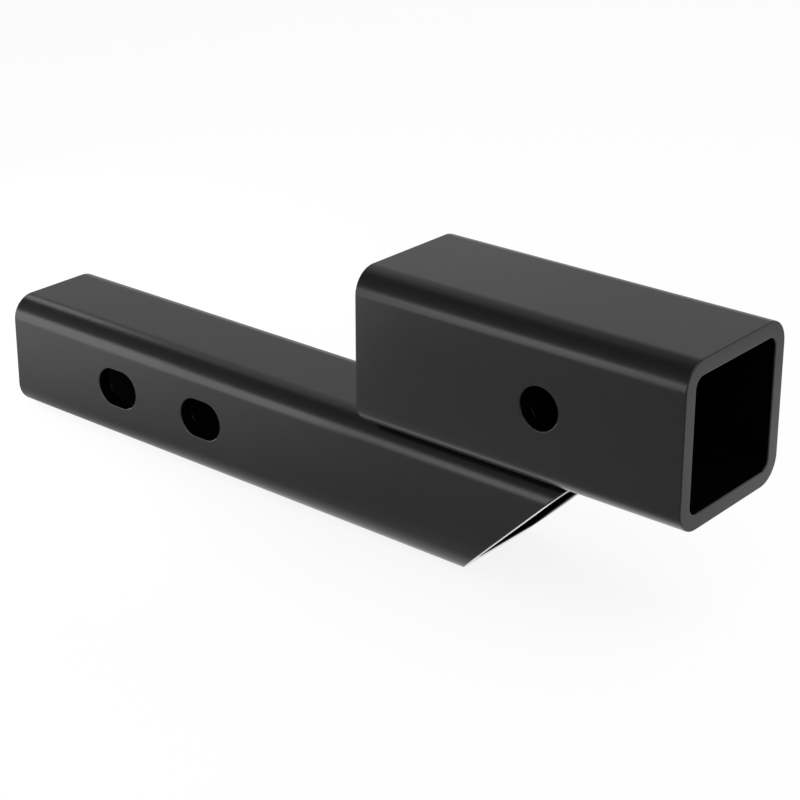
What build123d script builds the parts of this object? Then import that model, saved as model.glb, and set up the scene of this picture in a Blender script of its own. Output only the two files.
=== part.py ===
from build123d import *
import math
import os

# Hitch receiver extender, in millimetres. A square shank tube goes into the vehicle's receiver, and a wider
# square receiver tube is welded on top of it. X runs along both tubes to the receiver's mouth, Y across, Z up.
# The origin is the middle of the whole object's footprint, on the shank's underside.

# Shank: the lower tube
shank_width = 50.8
shank_height = 50.8
shank_wall = 6.35
shank_corner_radius = 10.2
shank_bare_length = 207.0      # from the plain end to the receiver's rear end
cut_angle = 45.0               # slope of the far end, in degrees from the tube's length

# Slots through both side walls of the shank, near its plain end
slot_count = 2
slot_width = 16.66
slot_length = 22.66
slot_setback = 65.6            # from the plain end to the middle of the first slot
slot_pitch = 50.0

# Receiver: the upper tube
receiver_width = 63.5
receiver_height = 63.5
receiver_wall = 6.2
receiver_corner_radius = 10.2
receiver_length = 145.0
receiver_overhang = 51.5       # from the top edge of the shank's cut to the receiver's mouth
pin_hole_diameter = 16.66
pin_hole_setback = 59.8        # from the receiver's mouth to the hole's axis

# Every cut edge is broken by this much: the tubes' outer edges and the receiver's mouth are rounded,
# and the holes and the other inner edges are chamfered
edge_break = 0.5

# Welds in the two grooves between the receiver's underside and the shank's rounded corners
groove_weld_diameter = 4.4
groove_weld_depth = 4.2        # from the line where the tubes touch to the weld's axis
groove_weld_setback = 8.0      # how far the weld stops short of each end of the seam

# Welds across the tubes, at the two ends of the seam
cross_weld_length = 30.0
cross_weld_margin = 1.2        # wall left bare between the weld's toe and the receiver's inner face
cross_weld_crown = 0.6         # how far the weld's face bulges

# Places worked out from the sizes above
overall_length = shank_bare_length + receiver_length
plain_end = -overall_length / 2
receiver_rear = plain_end + shank_bare_length
mouth = receiver_rear + receiver_length
seam_height = shank_height
shank_axis_height = shank_height / 2
receiver_axis_height = seam_height + receiver_height / 2
cut_slope = math.radians(cut_angle)
cut_top = mouth - receiver_overhang
cut_bottom = cut_top - shank_height / math.tan(cut_slope)
slot_places = [plain_end + slot_setback + step * slot_pitch for step in range(slot_count)]
pin_hole_place = mouth - pin_hole_setback
cross_weld_leg = receiver_wall - cross_weld_margin
tip_rounding = edge_break / math.tan(cut_slope / 2)


def square_tube(width, height, wall, corner_radius, start, end, axis_height):
    """A straight square tube along X, rounded at its four corners inside and out."""
    outside = RectangleRounded(width, height, corner_radius)
    inside = RectangleRounded(width - 2 * wall, height - 2 * wall, corner_radius - wall)
    section = Plane.YZ * (outside - inside)
    return Pos(start, 0, axis_height) * extrude(section, amount=end - start)


def through_sides(outline, x, z, width):
    """A cutter with the given outline in the side view, long enough for both side walls."""
    return Pos(x, 0, z) * extrude(Plane.XZ * outline, amount=width, both=True)


def break_rims(tube, width, wall, x, z, length, height):
    """Chamfer the rims of one side hole, on the outer and inner faces of both side walls."""
    def on_rim(edge):
        middle = edge @ 0.5
        from_axis = abs(middle.Y)
        on_face = min(abs(from_axis - width / 2), abs(from_axis - width / 2 + wall)) < 0.01
        return on_face and abs(middle.X - x) < length / 2 + 0.01 and abs(middle.Z - z) < height / 2 + 0.01
    return chamfer(tube.edges().filter_by(on_rim), edge_break)


def end_face(tube, on_end, end_normal):
    """The flat ring that a tube's end shows."""
    end = Plane(origin=on_end, z_dir=end_normal)

    def in_plane(face):
        return all(abs(end.to_local_coords(vertex.center()).Z) < 0.01 for vertex in face.vertices())
    return tube.faces().filter_by(in_plane)[0]


def break_end(tube, on_end, end_normal, break_inner):
    """Round the outer edge of a tube's end, and break its inner edge with a fillet or a chamfer."""
    tube = fillet(end_face(tube, on_end, end_normal).outer_wire().edges(), edge_break)
    return break_inner(end_face(tube, on_end, end_normal).inner_wires()[0].edges(), edge_break)


def make_shank():
    """The lower tube: square at its plain end, slotted through its sides, and cut on a slope at its far end."""
    tube = square_tube(shank_width, shank_height, shank_wall, shank_corner_radius,
                       plain_end, cut_top, shank_axis_height)
    below_cut = Polyline((cut_top, seam_height), (cut_bottom, 0), (cut_top, 0), close=True)
    tube -= extrude(make_face(Plane.XZ * below_cut), amount=shank_width, both=True)
    for x in slot_places:
        tube -= through_sides(SlotOverall(slot_length, slot_width), x, shank_axis_height, shank_width)
        tube = break_rims(tube, shank_width, shank_wall, x, shank_axis_height, slot_length, slot_width)
    tube = break_end(tube, (plain_end, 0, 0), (1, 0, 0), chamfer)
    return break_end(tube, (cut_top, 0, seam_height), (math.sin(cut_slope), 0, -math.cos(cut_slope)), chamfer)


def make_receiver():
    """The upper tube: open at both ends, with a hole for the hitch pin through its sides."""
    tube = square_tube(receiver_width, receiver_height, receiver_wall, receiver_corner_radius,
                       receiver_rear, mouth, receiver_axis_height)
    tube -= through_sides(Circle(pin_hole_diameter / 2), pin_hole_place, receiver_axis_height, receiver_width)
    tube = break_rims(tube, receiver_width, receiver_wall, pin_hole_place, receiver_axis_height,
                      pin_hole_diameter, pin_hole_diameter)
    tube = break_end(tube, (receiver_rear, 0, 0), (1, 0, 0), chamfer)
    return break_end(tube, (mouth, 0, 0), (1, 0, 0), fillet)


def make_groove_weld(side, tubes):
    """A round bead laid in the groove beside the seam, which takes the shape of both tubes."""
    touch_line = shank_width / 2 - shank_corner_radius
    gap = shank_corner_radius - math.sqrt(shank_corner_radius ** 2 - groove_weld_depth ** 2)
    radius = groove_weld_diameter / 2
    start = receiver_rear + groove_weld_setback
    end = cut_top - groove_weld_setback
    bead = extrude(Plane.YZ * Circle(radius), amount=end - start)
    bead += [Sphere(radius), Pos(end - start, 0, 0) * Sphere(radius)]
    bead = Pos(start, side * (touch_line + groove_weld_depth), seam_height - gap / 2) * bead
    return bead - tubes


def make_cross_weld(corner_x, toe_directions, tubes):
    """A bead along the line where a face of one tube meets the other tube, with one toe on each of them."""
    leg = cross_weld_leg
    corner = Vector(corner_x, seam_height)
    first_toe, second_toe = [corner + direction.normalized() * leg for direction in toe_directions]
    outward = (toe_directions[0].normalized() + toe_directions[1].normalized()).normalized()
    crest = (first_toe + second_toe) / 2 + outward * cross_weld_crown
    outline = [Line(second_toe, corner), Line(corner, first_toe), ThreePointArc(first_toe, crest, second_toe)]
    root = Pos(corner_x, seam_height) * Circle(tip_rounding + edge_break)
    section = Plane.XZ * (make_face(outline) + root)
    bead = extrude(section, amount=cross_weld_length / 2, both=True)
    rounded_ends = RectangleRounded(2 * leg, cross_weld_length, 0.9 * leg)
    bead &= Pos(corner_x, 0, seam_height) * extrude(rounded_ends, amount=leg, both=True)
    return bead - tubes


shank = make_shank()
receiver = make_receiver()
tubes = [shank, receiver]
down_the_cut = Vector(-math.cos(cut_slope), -math.sin(cut_slope))
parts = {
    "shank_tube": shank,
    "receiver_tube": receiver,
    "groove_weld_near": make_groove_weld(-1, tubes),
    "groove_weld_far": make_groove_weld(1, tubes),
    "rear_weld": make_cross_weld(receiver_rear, (Vector(-1, 0), Vector(0, 1)), tubes),
    "front_weld": make_cross_weld(cut_top, (Vector(1, 0), down_the_cut), tubes),
}

os.makedirs("parts", exist_ok=True)
for name, shape in parts.items():
    export_step(shape, f"parts/{name}.step")
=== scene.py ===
import math
import random

import bpy
from mathutils import Matrix, Vector


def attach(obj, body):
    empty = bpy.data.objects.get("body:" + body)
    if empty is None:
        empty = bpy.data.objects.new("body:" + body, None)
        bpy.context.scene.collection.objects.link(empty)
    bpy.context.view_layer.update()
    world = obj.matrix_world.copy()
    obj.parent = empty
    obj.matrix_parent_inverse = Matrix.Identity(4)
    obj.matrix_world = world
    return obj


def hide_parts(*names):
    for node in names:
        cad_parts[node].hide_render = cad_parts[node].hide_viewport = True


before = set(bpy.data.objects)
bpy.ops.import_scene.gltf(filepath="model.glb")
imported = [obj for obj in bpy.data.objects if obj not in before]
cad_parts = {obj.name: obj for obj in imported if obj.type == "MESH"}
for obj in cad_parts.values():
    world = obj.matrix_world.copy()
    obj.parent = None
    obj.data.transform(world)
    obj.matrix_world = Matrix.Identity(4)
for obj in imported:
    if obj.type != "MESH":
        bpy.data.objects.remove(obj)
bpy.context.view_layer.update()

MM = 0.001
HAIR = 0.01                    # in millimetres, too little to count as a distance

# Sizes and places of the two tubes, in millimetres, in the part's own frame
SHANK_REAR = -176.0
SHANK_WIDTH = 50.8
SHANK_WALL = 6.35
RECEIVER_REAR = 31.0
RECEIVER_MOUTH = 176.0
RECEIVER_WIDTH = 63.5
RECEIVER_WALL = 6.2
SEAM_HEIGHT = SHANK_WIDTH
CORNER_RADIUS = 10.2
CORNER_SEGMENTS = 18
HOLE_RADIUS = 8.33
HOLE_SIDES = 72
SLOT_LENGTH = 22.66
SLOT_PLACES = (-110.4, -60.4)
PIN_HOLE_PLACE = 116.2

# The shank's sawn slope: its top edge, the way it faces, and the spare length that the saw takes off there
CUT_TOP = 124.5
CUT_SLOPE = math.radians(45)
CUT_NORMAL = Vector((math.sin(CUT_SLOPE), 0, -math.cos(CUT_SLOPE)))
SAW_SPARE = 2.0

# Where two faces turn by more than the sharp bend, the edge between them is rounded
SHARP_BEND = math.radians(35)
EDGE_RADIUS = 0.5
EDGE_SEGMENTS = 4

# Welds in the grooves beside the seam: their ends, their distance from the middle plane, and their height
GROOVE_WELD_START = 36.8
GROOVE_WELD_END = 118.7
GROOVE_WELD_ACROSS = 19.4
GROOVE_WELD_HEIGHT = 50.35
GROOVE_WELD_RADIUS = 2.2
GROOVE_END_INSET = 0.7 * GROOVE_WELD_RADIUS     # from the weld's end to its last drop's middle

# Welds across the tubes: how far they reach from the middle plane, and which way they bulge
CROSS_WELD_HALF = 15.0
CROSS_END_INSET = 1.6                           # as on the groove welds
CROSS_REACH = CROSS_WELD_HALF - CROSS_END_INSET
REAR_WELD_OUT = (-1, 0, 1)
FRONT_WELD_OUT = (0.383, 0, -0.924)             # halfway between the receiver's underside and the slope

# Drops that a weld bead is laid from. Half sizes are across the bead and outwards
DROP_PITCH = 1.5
DROP_HALF_LENGTH = 1.5
DROP_LEAN = math.radians(20)
DROP_ENDS = (0.8, 0.92, 0.98, 1.0)              # sizes of the first and last drops, from the ends inwards
DROP_SWELL = 0.03                               # by how much, at most, chance changes a drop's size
DROP_TURN = 0.08                                # and its lean, in radians
GROOVE_DROP = (GROOVE_WELD_RADIUS, GROOVE_WELD_RADIUS)
REAR_DROP = (6.8, 4.1)
FRONT_DROP = (7.1, 2.5)
BEAD_VOXEL = 0.25

# The coat's pattern: sizes of its noises, in waves to the metre, and depths in millimetres
GRAIN_SCALE = 1900
SMEAR_SCALE = 95
WAVE_SCALE = 38
WAVE_DEPTH = 0.06
SMEAR_SHADE = 0.25             # how much darker and lighter the smears are, as a share of the tone
SMEAR_DULLNESS = 0.06          # by how much the roughness varies from smear to smear


class Wire:
    """One output of a shader node. A sum or a product with it adds a Math node."""

    def __init__(self, finish, socket):
        self.finish = finish
        self.socket = socket

    def combine(self, operation, other):
        return self.finish.node("ShaderNodeMath", {"operation": operation}, {0: self, 1: other})["Value"]

    def __add__(self, other):
        return self.combine("ADD", other)

    __radd__ = __add__

    def __mul__(self, other):
        return self.combine("MULTIPLY", other)

    __rmul__ = __mul__


class Finish:
    """A node tree under construction: a material's, or the world's."""

    def __init__(self, owner):
        owner.use_nodes = True
        self.owner = owner
        self.tree = owner.node_tree
        self.tree.nodes.clear()

    def node(self, kind, settings, inputs):
        """Adds one node, sets its settings, then its sockets, and gives its outputs by name."""
        node = self.tree.nodes.new(kind)
        for name, value in settings.items():
            if name == "stops":
                self.set_stops(node.color_ramp, value)
            else:
                setattr(node, name, value)
        for name, value in inputs.items():
            socket = node.inputs[name] if isinstance(name, int) else self.find(node.inputs, name)
            if isinstance(value, Wire):
                self.tree.links.new(value.socket, socket)
            else:
                socket.default_value = value
        return {output.name: Wire(self, output) for output in node.outputs if output.enabled}

    def set_stops(self, ramp, stops):
        """Gives a colour ramp its places, each with a grey tone."""
        while len(ramp.elements) < len(stops):
            ramp.elements.new(0.5)
        for element, (place, tone) in zip(ramp.elements, stops):
            element.position = place
            element.color = grey(tone)

    def find(self, sockets, name):
        """The socket of that name which is in use: a Mix node has one for each kind of data."""
        return next(socket for socket in sockets if socket.name == name and socket.enabled)


def grey(tone):
    return (tone, tone, tone, 1)


def satin_black(name, tone, roughness, gloss, grain_depth):
    """The satin black powder coat: a fine grain, slow waves in the steel, and faint smears.

    The gloss is the coat's index of refraction, and the grain's depth is in millimetres."""
    finish = Finish(bpy.data.materials.new(name))
    place = finish.node("ShaderNodeTexCoord", {}, {})["Object"]

    def noise(scale, detail, rough):
        return finish.node("ShaderNodeTexNoise", {},
                           {"Vector": place, "Scale": scale, "Detail": detail, "Roughness": rough})["Fac"]

    grain = noise(GRAIN_SCALE, 2, 0.6)
    waves = noise(WAVE_SCALE, 2, 0.5)
    smears = noise(SMEAR_SCALE, 4, 0.6)
    colour = finish.node("ShaderNodeMix", {"data_type": "RGBA"}, {
        "Factor": smears,
        "A": grey(tone * (1 - SMEAR_SHADE)),
        "B": grey(tone * (1 + SMEAR_SHADE)),
    })["Result"]
    grain_bump = finish.node("ShaderNodeBump", {},
                             {"Strength": 1.0, "Distance": grain_depth * MM, "Height": grain})["Normal"]
    wave_bump = finish.node("ShaderNodeBump", {}, {
        "Strength": 1.0,
        "Distance": WAVE_DEPTH * MM,
        "Height": waves,
        "Normal": grain_bump,
    })["Normal"]
    paint = finish.node("ShaderNodeBsdfPrincipled", {}, {
        "Base Color": colour,
        "Roughness": roughness - SMEAR_DULLNESS / 2 + SMEAR_DULLNESS * smears,
        "IOR": gloss,
        "Normal": wave_bump,
    })["BSDF"]
    finish.node("ShaderNodeOutputMaterial", {}, {"Surface": paint})
    return finish.owner


def dress(obj, *materials):
    obj.data.materials.clear()
    for material in materials:
        obj.data.materials.append(material)


def deselect():
    bpy.ops.object.select_all(action="DESELECT")


def work_on(obj):
    deselect()
    obj.select_set(True)
    bpy.context.view_layer.objects.active = obj


def edit(obj, kind, wanted):
    """Goes to edit mode with the wanted vertices, edges or faces of a piece selected."""
    work_on(obj)
    mesh = obj.data
    for group in (mesh.vertices, mesh.edges, mesh.polygons):
        group.foreach_set("select", [False] * len(group))
    for item in {"VERT": mesh.vertices, "EDGE": mesh.edges, "FACE": mesh.polygons}[kind]:
        item.select = wanted(item)
    bpy.context.tool_settings.mesh_select_mode = [kind == mode for mode in ("VERT", "EDGE", "FACE")]
    bpy.ops.object.mode_set(mode="EDIT")


def finish_edit():
    bpy.ops.object.mode_set(mode="OBJECT")


def apply_modifier(obj, kind, **settings):
    work_on(obj)
    modifier = obj.modifiers.new(kind, kind)
    for name, value in settings.items():
        setattr(modifier, name, value)
    bpy.ops.object.modifier_apply(modifier=kind)


def square_tube(name, rear, front, underside, width, wall):
    """A length of square tube along X, rounded at its corners, with its bore open at both ends."""
    deselect()
    middle = ((rear + front) / 2 * MM, 0, (underside + width / 2) * MM)
    bpy.ops.mesh.primitive_cube_add(size=MM, location=middle)
    tube = bpy.context.object
    tube.name = name
    tube.data.name = name
    tube.scale = (front - rear, width, width)
    bpy.ops.object.transform_apply(location=True, rotation=True, scale=True)
    points = tube.data.vertices

    def runs_along(edge):
        first, second = edge.vertices
        return abs(points[first].co.x - points[second].co.x) > HAIR * MM

    edit(tube, "EDGE", runs_along)
    bpy.ops.mesh.bevel(offset=CORNER_RADIUS * MM, segments=CORNER_SEGMENTS, affect="EDGES")
    finish_edit()
    edit(tube, "FACE", lambda face: abs(face.normal.x) > 0.9)
    bpy.ops.mesh.inset(thickness=wall * MM, use_even_offset=True)
    bpy.ops.mesh.bridge_edge_loops()
    finish_edit()
    return tube


def saw_slope(tube):
    """Saws the tube's front end off along the slope, and closes the wall that it opens."""
    edit(tube, "FACE", lambda face: True)
    bpy.ops.mesh.bisect(plane_co=(CUT_TOP * MM, 0, SEAM_HEIGHT * MM), plane_no=CUT_NORMAL, clear_outer=True)
    bpy.ops.mesh.bridge_edge_loops()
    finish_edit()


def coat(tube, underside, width, wall):
    """Paints the tube outside, and gives its bore the dull coat with painted shade and the sawn slope the
    smooth one.
    """
    dress(tube, *coats)
    reach = (width / 2 - wall + HAIR) * MM
    axis_height = (underside + width / 2) * MM
    for face in tube.data.polygons:
        if face.normal.dot(CUT_NORMAL) > 0.999:
            face.material_index = coats.index(cut_paint)
        elif abs(face.center.y) < reach and abs(face.center.z - axis_height) < reach:
            face.material_index = coats.index(bore_painted_shade)


def punch(tube, x, z, length, width):
    """Punches a hole, or a slot of that length, through both side walls. Its wall gets the bore's dull coat
    and painted shade.
    """
    deselect()
    bpy.ops.mesh.primitive_cylinder_add(vertices=HOLE_SIDES, radius=HOLE_RADIUS * MM, depth=1.2 * width * MM,
                                        location=(x * MM, 0, z * MM), rotation=(math.radians(90), 0, 0))
    die = bpy.context.object
    bpy.ops.object.transform_apply(location=True, rotation=True, scale=True)
    for side in (-1, 1):
        edit(die, "VERT", lambda vertex: (vertex.co.x - x * MM) * side > HAIR * MM)
        bpy.ops.transform.translate(value=(side * (length / 2 - HOLE_RADIUS) * MM, 0, 0))
        finish_edit()
    dress(die, *coats)
    for face in die.data.polygons:
        face.material_index = coats.index(bore_painted_shade)
    apply_modifier(tube, "BOOLEAN", object=die, operation="DIFFERENCE", solver="EXACT")
    bpy.data.objects.remove(die)


def round_edges(tube):
    """Rounds every sharp edge by the same radius, however steep its faces meet."""
    mesh = tube.data
    sides = {}
    for face in mesh.polygons:
        for edge in face.edge_keys:
            sides.setdefault(edge, []).append(face)
    reaches = []
    for edge in mesh.edges:
        first, second = sides[edge.key]
        bend = first.normal.angle(second.normal)
        reaches.append(EDGE_RADIUS * math.tan(bend / 2) if bend > SHARP_BEND else 0)
    weights = mesh.attributes.new("bevel_weight_edge", "FLOAT", "EDGE")
    weights.data.foreach_set("value", [reach / max(reaches) for reach in reaches])
    apply_modifier(tube, "BEVEL", width=max(reaches) * MM, segments=EDGE_SEGMENTS, limit_method="WEIGHT",
                   material=coats.index(tube_paint))
    tube.data.attributes.remove(tube.data.attributes["bevel_weight_edge"])
    for face in tube.data.polygons:
        face.use_smooth = True
    apply_modifier(tube, "WEIGHTED_NORMAL", mode="FACE_AREA", weight=90, keep_sharp=False)


def install(piece, node):
    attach(piece, "root")
    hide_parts(node)


def weld_bead(node, start, end, out, drop_size):
    """A weld bead in place of a CAD weld: overlapping drops that lean along the run, melted into one skin.

    The drops' middles run from start to end, and the bead stands out towards out. All is in millimetres."""
    run = (Vector(end) - Vector(start)).normalized()
    out = Vector(out).normalized()
    across = out.cross(run)
    lay = Matrix((run, across, out)).transposed()
    width, height = drop_size
    count = round((Vector(end) - Vector(start)).length / DROP_PITCH)
    chance = random.Random(node)
    deselect()
    drops = []
    for step in range(count + 1):
        from_end = min(step, count - step)
        swell = DROP_ENDS[min(from_end, len(DROP_ENDS) - 1)] * chance.uniform(1 - DROP_SWELL, 1 + DROP_SWELL)
        turn = lay.to_4x4() @ Matrix.Rotation(DROP_LEAN + chance.uniform(-DROP_TURN, DROP_TURN), 4, "Y")
        if step == 0:
            bpy.ops.mesh.primitive_uv_sphere_add(segments=20, ring_count=12, radius=MM)
        else:
            bpy.ops.object.duplicate()
        drop = bpy.context.object
        drop.location = Vector(start).lerp(Vector(end), step / count) * MM
        drop.rotation_euler = turn.to_euler()
        drop.scale = (DROP_HALF_LENGTH, width * swell, height * swell)
        drops.append(drop)
    for drop in drops:
        drop.select_set(True)
    bpy.ops.object.join()
    bead = bpy.context.object
    bpy.ops.object.transform_apply(location=True, rotation=True, scale=True)
    bead.name = node + "_bead"
    bead.data.name = bead.name
    apply_modifier(bead, "REMESH", mode="VOXEL", voxel_size=BEAD_VOXEL * MM, use_smooth_shade=True)
    apply_modifier(bead, "SMOOTH", factor=0.5, iterations=2)
    dress(bead, weld_paint)
    install(bead, node)


# A tube has three coats: on its outside and its edges, in its bore and holes, and on its sawn slope
tube_paint = satin_black("tube_paint", tone=0.005, roughness=0.25, gloss=1.5, grain_depth=0.008)
# The bore's coat is painted darker and less glossy than the outside: painted shade in the bore and holes
bore_painted_shade = satin_black("bore_painted_shade", tone=0.001, roughness=0.8, gloss=1.07, grain_depth=0.03)
cut_paint = satin_black("cut_paint", tone=0.005, roughness=0.12, gloss=1.5, grain_depth=0.004)
weld_paint = satin_black("weld_paint", tone=0.005, roughness=0.28, gloss=1.5, grain_depth=0.008)
coats = (tube_paint, bore_painted_shade, cut_paint)

shank = square_tube("shank", SHANK_REAR, CUT_TOP + SAW_SPARE, 0, SHANK_WIDTH, SHANK_WALL)
saw_slope(shank)
coat(shank, 0, SHANK_WIDTH, SHANK_WALL)
for place in SLOT_PLACES:
    punch(shank, place, SHANK_WIDTH / 2, SLOT_LENGTH, SHANK_WIDTH)
round_edges(shank)
install(shank, "shank_tube")

receiver = square_tube("receiver", RECEIVER_REAR, RECEIVER_MOUTH, SEAM_HEIGHT, RECEIVER_WIDTH, RECEIVER_WALL)
coat(receiver, SEAM_HEIGHT, RECEIVER_WIDTH, RECEIVER_WALL)
punch(receiver, PIN_HOLE_PLACE, SEAM_HEIGHT + RECEIVER_WIDTH / 2, 2 * HOLE_RADIUS, RECEIVER_WIDTH)
round_edges(receiver)
install(receiver, "receiver_tube")

for node, side in (("groove_weld_near", -1), ("groove_weld_far", 1)):
    weld_bead(node, (GROOVE_WELD_START + GROOVE_END_INSET, side * GROOVE_WELD_ACROSS, GROOVE_WELD_HEIGHT),
              (GROOVE_WELD_END - GROOVE_END_INSET, side * GROOVE_WELD_ACROSS, GROOVE_WELD_HEIGHT),
              (0, side, 0), GROOVE_DROP)
weld_bead("rear_weld", (RECEIVER_REAR, -CROSS_REACH, SEAM_HEIGHT), (RECEIVER_REAR, CROSS_REACH, SEAM_HEIGHT),
          REAR_WELD_OUT, REAR_DROP)
weld_bead("front_weld", (CUT_TOP, -CROSS_REACH, SEAM_HEIGHT), (CUT_TOP, CROSS_REACH, SEAM_HEIGHT),
          FRONT_WELD_OUT, FRONT_DROP)


def make_floor():
    """A pale floor. The camera sees it nearly white, and the paint mirrors it dim, with painted pools of
    light that only mirrored rays see.
    """
    deselect()
    bpy.ops.mesh.primitive_plane_add(size=16)
    floor = bpy.context.object
    floor.name = "floor"
    finish = Finish(bpy.data.materials.new("floor_card"))
    rays = finish.node("ShaderNodeLightPath", {}, {})
    place = finish.node("ShaderNodeTexCoord", {}, {})["Object"]

    def painted_pool(x, y, half_length, half_width):
        """A painted pool of light on the floor: 1 in its middle, and fading to 0 at its rim."""
        spot = finish.node("ShaderNodeMapping", {"vector_type": "TEXTURE"}, {
            "Vector": place,
            "Location": (x, y, 0),
            "Scale": (half_length, half_width, 1),
        })["Vector"]
        return finish.node("ShaderNodeTexGradient", {"gradient_type": "SPHERICAL"}, {"Vector": spot})["Fac"]

    # Painted pools of light on the floor, which the paint mirrors, one of them under the part
    right = painted_pool(0.16, 0.18, 0.34, 0.22)
    left = painted_pool(-0.27, -0.08, 0.28, 0.1)
    front = painted_pool(0.03, -0.12, 0.2, 0.12)
    by_strips = painted_pool(-0.26, -0.41, 0.22, 0.2)
    under = finish.node("ShaderNodeMapRange", {}, {
        "Value": painted_pool(0.095, 0, 0.28, 0.049),
        "From Min": 0.0,
        "From Max": 0.4,
        "To Min": 0.0,
        "To Max": 0.75,
    })["Result"]
    # How bright the paint mirrors the floor, with white as 1: a dim base with painted pools of light added
    level = 0.16 + 0.68 * right + 0.5 * left + 0.18 * front + 1.7 * by_strips + under
    painted_pools = finish.node("ShaderNodeCombineColor", {}, {"Red": level, "Green": level, "Blue": level})["Color"]
    glow = finish.node("ShaderNodeMix", {"data_type": "RGBA"},
                       {"Factor": rays["Is Camera Ray"], "A": painted_pools, "B": grey(0.87)})["Result"]
    colour = finish.node("ShaderNodeMix", {"data_type": "RGBA"},
                         {"Factor": rays["Is Camera Ray"], "A": grey(0.45), "B": grey(0.22)})["Result"]
    card = finish.node("ShaderNodeBsdfPrincipled", {}, {
        "Base Color": colour,
        "Roughness": 1.0,
        "Specular IOR Level": 0.0,
        "Emission Color": glow,
        "Emission Strength": rays["Is Camera Ray"] + rays["Is Glossy Ray"] + rays["Is Transmission Ray"],
    })["BSDF"]
    finish.node("ShaderNodeOutputMaterial", {}, {"Surface": card})
    floor.data.materials.append(finish.owner)


def make_world():
    """A studio that is pale all round at the floor's height, and darkens upwards."""
    world = bpy.data.worlds.new("studio")
    bpy.context.scene.world = world
    finish = Finish(world)
    way = finish.node("ShaderNodeTexCoord", {}, {})["Generated"]
    height = finish.node("ShaderNodeSeparateXYZ", {}, {"Vector": way})["Z"]
    tones = [(0.0, 0.9), (0.12, 0.9), (0.34, 0.38), (0.72, 0.2), (1.0, 0.15)]
    glow = finish.node("ShaderNodeValToRGB", {"stops": tones}, {"Fac": height})["Color"]
    sky = finish.node("ShaderNodeBackground", {}, {"Color": glow, "Strength": 1.0})["Background"]
    finish.node("ShaderNodeOutputWorld", {}, {"Surface": sky})


def lamp(name, place, facing, width, height, brightness):
    """A soft panel at a place, facing a point, in metres.

    Its brightness is what it adds in a mirror to the world behind it, with white as 1."""
    data = bpy.data.lights.new(name, "AREA")
    data.shape = "RECTANGLE"
    data.size = width
    data.size_y = height
    data.energy = brightness * math.pi * width * height
    panel = bpy.data.objects.new(name, data)
    panel.location = place
    panel.rotation_euler = (Vector(place) - Vector(facing)).to_track_quat("Z", "Y").to_euler()
    panel.visible_camera = False
    bpy.context.scene.collection.objects.link(panel)


make_floor()
make_world()

# Strips low in front of the part, which give the light bands along the tubes' near corners
lamp("front_strip_right", (-0.05, -0.45, 0.111), (0.05, 0.0, 0.111), 0.17, 0.202, 1.15)
lamp("front_strip_middle", (-0.215, -0.45, 0.111), (-0.115, 0.0, 0.111), 0.17, 0.202, 1.6)
lamp("near_strip_right", (-0.125, -0.13, 0.0415), (-0.107, 0.0, 0.0415), 0.1, 0.075, 1.55)
lamp("near_strip_left", (-0.265, -0.118, 0.047), (-0.265, 0.0, 0.047), 0.19, 0.086, 1.95)

# Panels round the part, for its tops, its far sides and its ends
lamp("left_card", (-0.46, 0.0, 0.065), (0.0, 0.0, 0.065), 0.2, 0.13, 6.0)
lamp("left_back_panel", (-1.48, 1.26, 0.77), (-0.1, 0.0, 0.05), 1.1, 0.7, 0.05)
lamp("left_panel", (-0.55, 0.105, 0.40), (-0.14, 0.0, 0.05), 0.16, 0.09, 1.9)
lamp("top_panel", (-0.63, 0.23, 1.0), (0.0, 0.0, 0.1), 0.5, 0.5, 0.26)
lamp("back_panel", (-1.1, 1.1, 1.3), (0.0, 0.0, 0.1), 2.4, 0.8, 0.26)
lamp("right_back_panel", (0.76, 1.25, 0.85), (0.1, 0.0, 0.1), 1.2, 0.8, 0.35)
lamp("key_panel", (0.945, -0.07, 1.42), (0.1, 0.0, 0.06), 1.6, 1.6, 1.2)

# The camera stands at the photo's viewing angle
bpy.ops.object.camera_add(location=(0.506903, -0.571767, 0.376165),
                          rotation=(math.radians(69.2693), 0, math.radians(40.0501)))
camera = bpy.context.object
camera.name = "camera"
camera.data.lens = 93.3365
camera.data.shift_y = -0.12916
bpy.context.scene.camera = camera

bpy.context.scene.view_settings.view_transform = "Standard"
